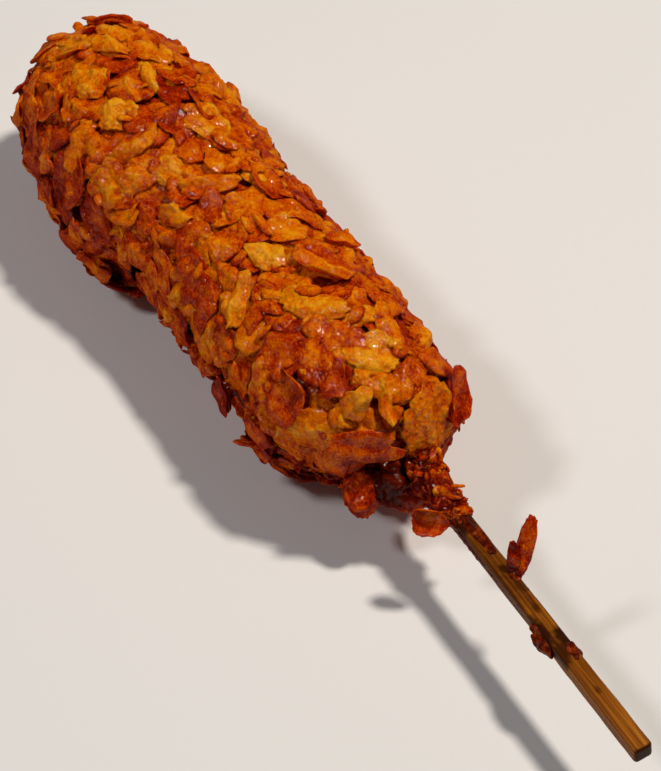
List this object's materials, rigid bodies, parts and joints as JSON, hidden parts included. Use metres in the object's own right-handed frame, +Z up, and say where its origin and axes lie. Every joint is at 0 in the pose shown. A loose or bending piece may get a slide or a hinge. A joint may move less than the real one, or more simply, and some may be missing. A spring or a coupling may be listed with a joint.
{
  "type": "corn dog",
  "caption": "Battered sausage in a thick coat of glazed, fried cornflakes on a square wooden stick, lying on its side with the stick clear of the table.",
  "frame": {"origin": "middle of the base of the whole, on the surface it lies on", "axes": "+X along the stick to its butt, +Z up, +Y to the side away from the viewer's side"},
  "size_m": [0.2622, 0.0582, 0.0548],
  "materials": {
    "cornflake_crust": "uneven fried coat of overlapping cornflakes, glazed",
    "glazed_cornflake": "blistered toasted cornflake under a thin sugar glaze",
    "fried_batter": "dark fried batter, slightly glossy",
    "stick_wood": "straight-grained bamboo or light wood, stained brown by oil and glaze"
  },
  "bodies": {
    "root": {"batter_bead": "fried_batter", "batter_lump": "fried_batter", "batter_streak": "fried_batter", "crust": "cornflake_crust", "flake_01": "glazed_cornflake", "flake_02": "glazed_cornflake", "flake_03": "glazed_cornflake", "flake_04": "glazed_cornflake", "flake_05": "glazed_cornflake", "flake_06": "glazed_cornflake", "flake_07": "glazed_cornflake", "flake_08": "glazed_cornflake", "flake_09": "glazed_cornflake", "flake_10": "glazed_cornflake", "flake_11": "glazed_cornflake", "flake_12": "glazed_cornflake", "flake_13": "glazed_cornflake", "flake_14": "glazed_cornflake", "flake_15": "glazed_cornflake", "flake_16": "glazed_cornflake", "flake_17": "glazed_cornflake", "flake_18": "glazed_cornflake", "flake_19": "glazed_cornflake", "flake_20": "glazed_cornflake", "flake_21": "glazed_cornflake", "flake_22": "glazed_cornflake", "flake_23": "glazed_cornflake", "flake_24": "glazed_cornflake", "flake_25": "glazed_cornflake", "flake_26": "glazed_cornflake", "flake_27": "glazed_cornflake", "flake_28": "glazed_cornflake", "flake_29": "glazed_cornflake", "flake_30": "glazed_cornflake", "flake_31": "glazed_cornflake", "flake_32": "glazed_cornflake", "flake_33": "glazed_cornflake", "flake_34": "glazed_cornflake", "flake_35": "glazed_cornflake", "flake_36": "glazed_cornflake", "flake_37": "glazed_cornflake", "flake_38": "glazed_cornflake", "flake_39": "glazed_cornflake", "flake_40": "glazed_cornflake", "neck_flake": "glazed_cornflake", "stick": "stick_wood", "stick_flake": "glazed_cornflake"}
  },
  "joints": []
}
